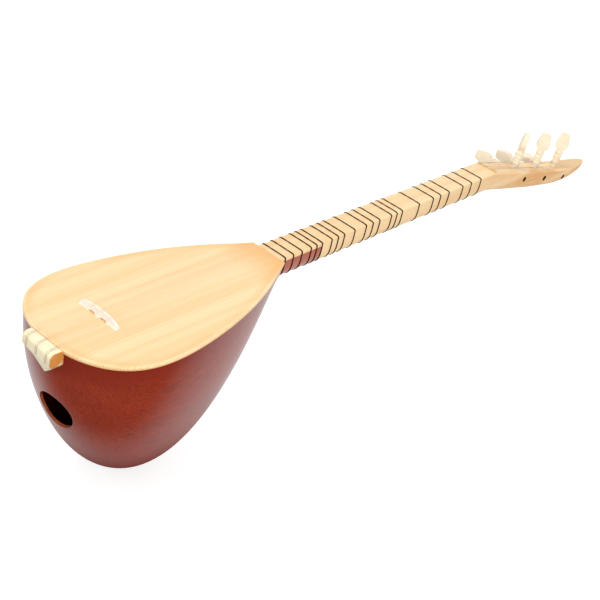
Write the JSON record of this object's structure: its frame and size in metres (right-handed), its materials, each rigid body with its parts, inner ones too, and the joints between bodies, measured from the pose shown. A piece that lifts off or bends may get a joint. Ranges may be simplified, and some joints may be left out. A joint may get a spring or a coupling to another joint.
{
  "type": "cura saz",
  "caption": "Small long-necked lute with a deep carved bowl, flat soundboard, sound hole in the tail, loose bridge, tied frets and turning tuning pegs.",
  "frame": {"origin": "on the soundboard's face, on its centre line, 60 mm from the bridge line towards the neck", "axes": "+Y along the strings towards the head, +X towards the treble side (the thin-string side, where the small ends of the side pegs show), +Z out of the soundboard"},
  "size_m": [0.1432, 0.7959, 0.1871],
  "materials": {
    "mahogany": "gloss",
    "spruce": "satin",
    "maple": "gloss",
    "boxwood": "satin",
    "beech": "satin",
    "peg_wood": "satin",
    "nylon": "satin",
    "steel": "polished"
  },
  "bodies": {
    "body": {"bowl": "mahogany", "soundboard": "spruce", "tail_block": "maple", "neck": "beech", "headstock": "beech", "nut": "maple", "fret_01": "nylon", "fret_02": "nylon", "fret_03": "nylon", "fret_04": "nylon", "fret_05": "nylon", "fret_06": "nylon", "fret_07": "nylon", "fret_08": "nylon", "fret_09": "nylon", "fret_10": "nylon", "fret_11": "nylon", "fret_12": "nylon", "fret_13": "nylon", "fret_14": "nylon", "fret_15": "nylon", "fret_16": "nylon", "fret_17": "nylon", "fret_18": "nylon", "fret_19": "nylon", "fret_20": "nylon", "fret_21": "nylon", "fret_22": "nylon", "fret_23": "nylon", "string_1": "steel", "string_2": "steel", "string_3": "steel", "string_4": "steel", "string_5": "steel", "string_6": "steel"},
    "bridge": {"bridge": "boxwood"},
    "front_peg_1": {"front_peg_1": "peg_wood", "front_winding_1": "steel"},
    "front_peg_2": {"front_peg_2": "peg_wood", "front_winding_2": "steel"},
    "front_peg_3": {"front_peg_3": "peg_wood", "front_winding_3": "steel"},
    "side_peg_1": {"side_peg_1": "peg_wood", "side_winding_1": "steel"},
    "side_peg_2": {"side_peg_2": "peg_wood", "side_winding_2": "steel"},
    "side_peg_3": {"side_peg_3": "peg_wood", "side_winding_3": "steel"}
  },
  "joints": [
    {"name": "front_peg_1_turn", "type": "hinge", "parent": "body", "child": "front_peg_1", "pos_m": [0, 0.51776, -0.01504], "axis": [0, 0.2267, 0.974], "continuous": true},
    {"name": "front_peg_2_turn", "type": "hinge", "parent": "body", "child": "front_peg_2", "pos_m": [0, 0.56159, -0.02524], "axis": [0, 0.2267, 0.974], "continuous": true},
    {"name": "front_peg_3_turn", "type": "hinge", "parent": "body", "child": "front_peg_3", "pos_m": [0, 0.60541, -0.03544], "axis": [0, 0.2267, 0.974], "continuous": true},
    {"name": "side_peg_1_turn", "type": "hinge", "parent": "body", "child": "side_peg_1", "pos_m": [-0.013, 0.52473, -0.02477], "axis": [-1, 0, 0], "continuous": true},
    {"name": "side_peg_2_turn", "type": "hinge", "parent": "body", "child": "side_peg_2", "pos_m": [-0.013, 0.56856, -0.03497], "axis": [-1, 0, 0], "continuous": true},
    {"name": "side_peg_3_turn", "type": "hinge", "parent": "body", "child": "side_peg_3", "pos_m": [-0.01249, 0.61239, -0.04517], "axis": [-1, 0, 0], "continuous": true},
    {"name": "bridge_slide", "type": "slide", "parent": "body", "child": "bridge", "axis": [0, 1, 0], "range_m": [-0.0015, 0.003]}
  ]
}
